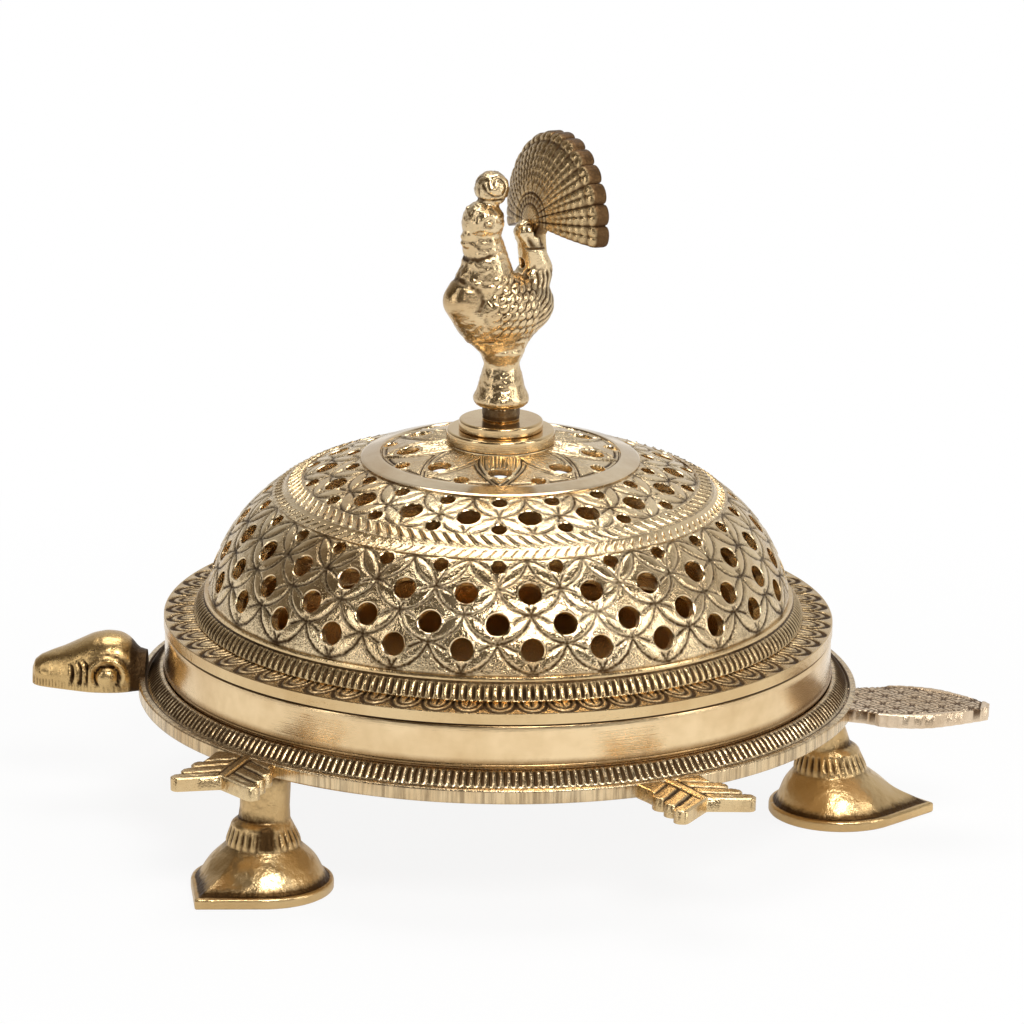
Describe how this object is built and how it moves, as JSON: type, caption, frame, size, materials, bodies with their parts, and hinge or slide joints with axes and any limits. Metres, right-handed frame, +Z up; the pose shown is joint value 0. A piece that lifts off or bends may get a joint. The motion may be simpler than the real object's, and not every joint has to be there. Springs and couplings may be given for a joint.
{
  "type": "incense burner",
  "caption": "Cast brass incense burner: tortoise base on pointed feet with a turned ember pan, and a pierced dome lid with a peacock finial that lifts off.",
  "frame": {"origin": "on the floor, midway between the tip of the tortoise's head and the tip of its tail; the common axis of pan, dome and finial stands 3.75 mm nearer to the head", "axes": "+X towards the tortoise's tail, -X towards its head, +Z up along the axis of pan, dome and finial, +Y towards the tortoise's right side"},
  "size_m": [0.2752, 0.227, 0.1979],
  "materials": {
    "cast_brass": "cast and hand filed, polished on the high parts, brown patina in the recesses",
    "turned_brass": "turned, with fine concentric tool marks, lightly polished",
    "old_brass": "cast, handled and slightly darkened",
    "steel": "plain hidden fixings"
  },
  "bodies": {
    "base": {"base_plate": "cast_brass", "tortoise_head": "cast_brass", "tortoise_tail": "cast_brass", "leg_rear": "old_brass", "leg_front_left": "old_brass", "leg_front_right": "old_brass", "ember_pan": "turned_brass", "pan_screw": "steel", "pan_washer": "steel", "pan_nut": "steel"},
    "lid": {"lid_dome": "cast_brass", "collar_lower": "turned_brass", "collar_upper": "turned_brass", "peacock_body": "cast_brass", "peacock_fan": "cast_brass", "fan_rivet": "turned_brass", "finial_stud": "steel", "finial_washer": "turned_brass", "finial_nut": "turned_brass"}
  },
  "joints": [
    {"name": "lid_lift", "type": "slide", "parent": "base", "child": "lid", "axis": [0, 0, 1], "range_m": [0, 0.11]}
  ]
}
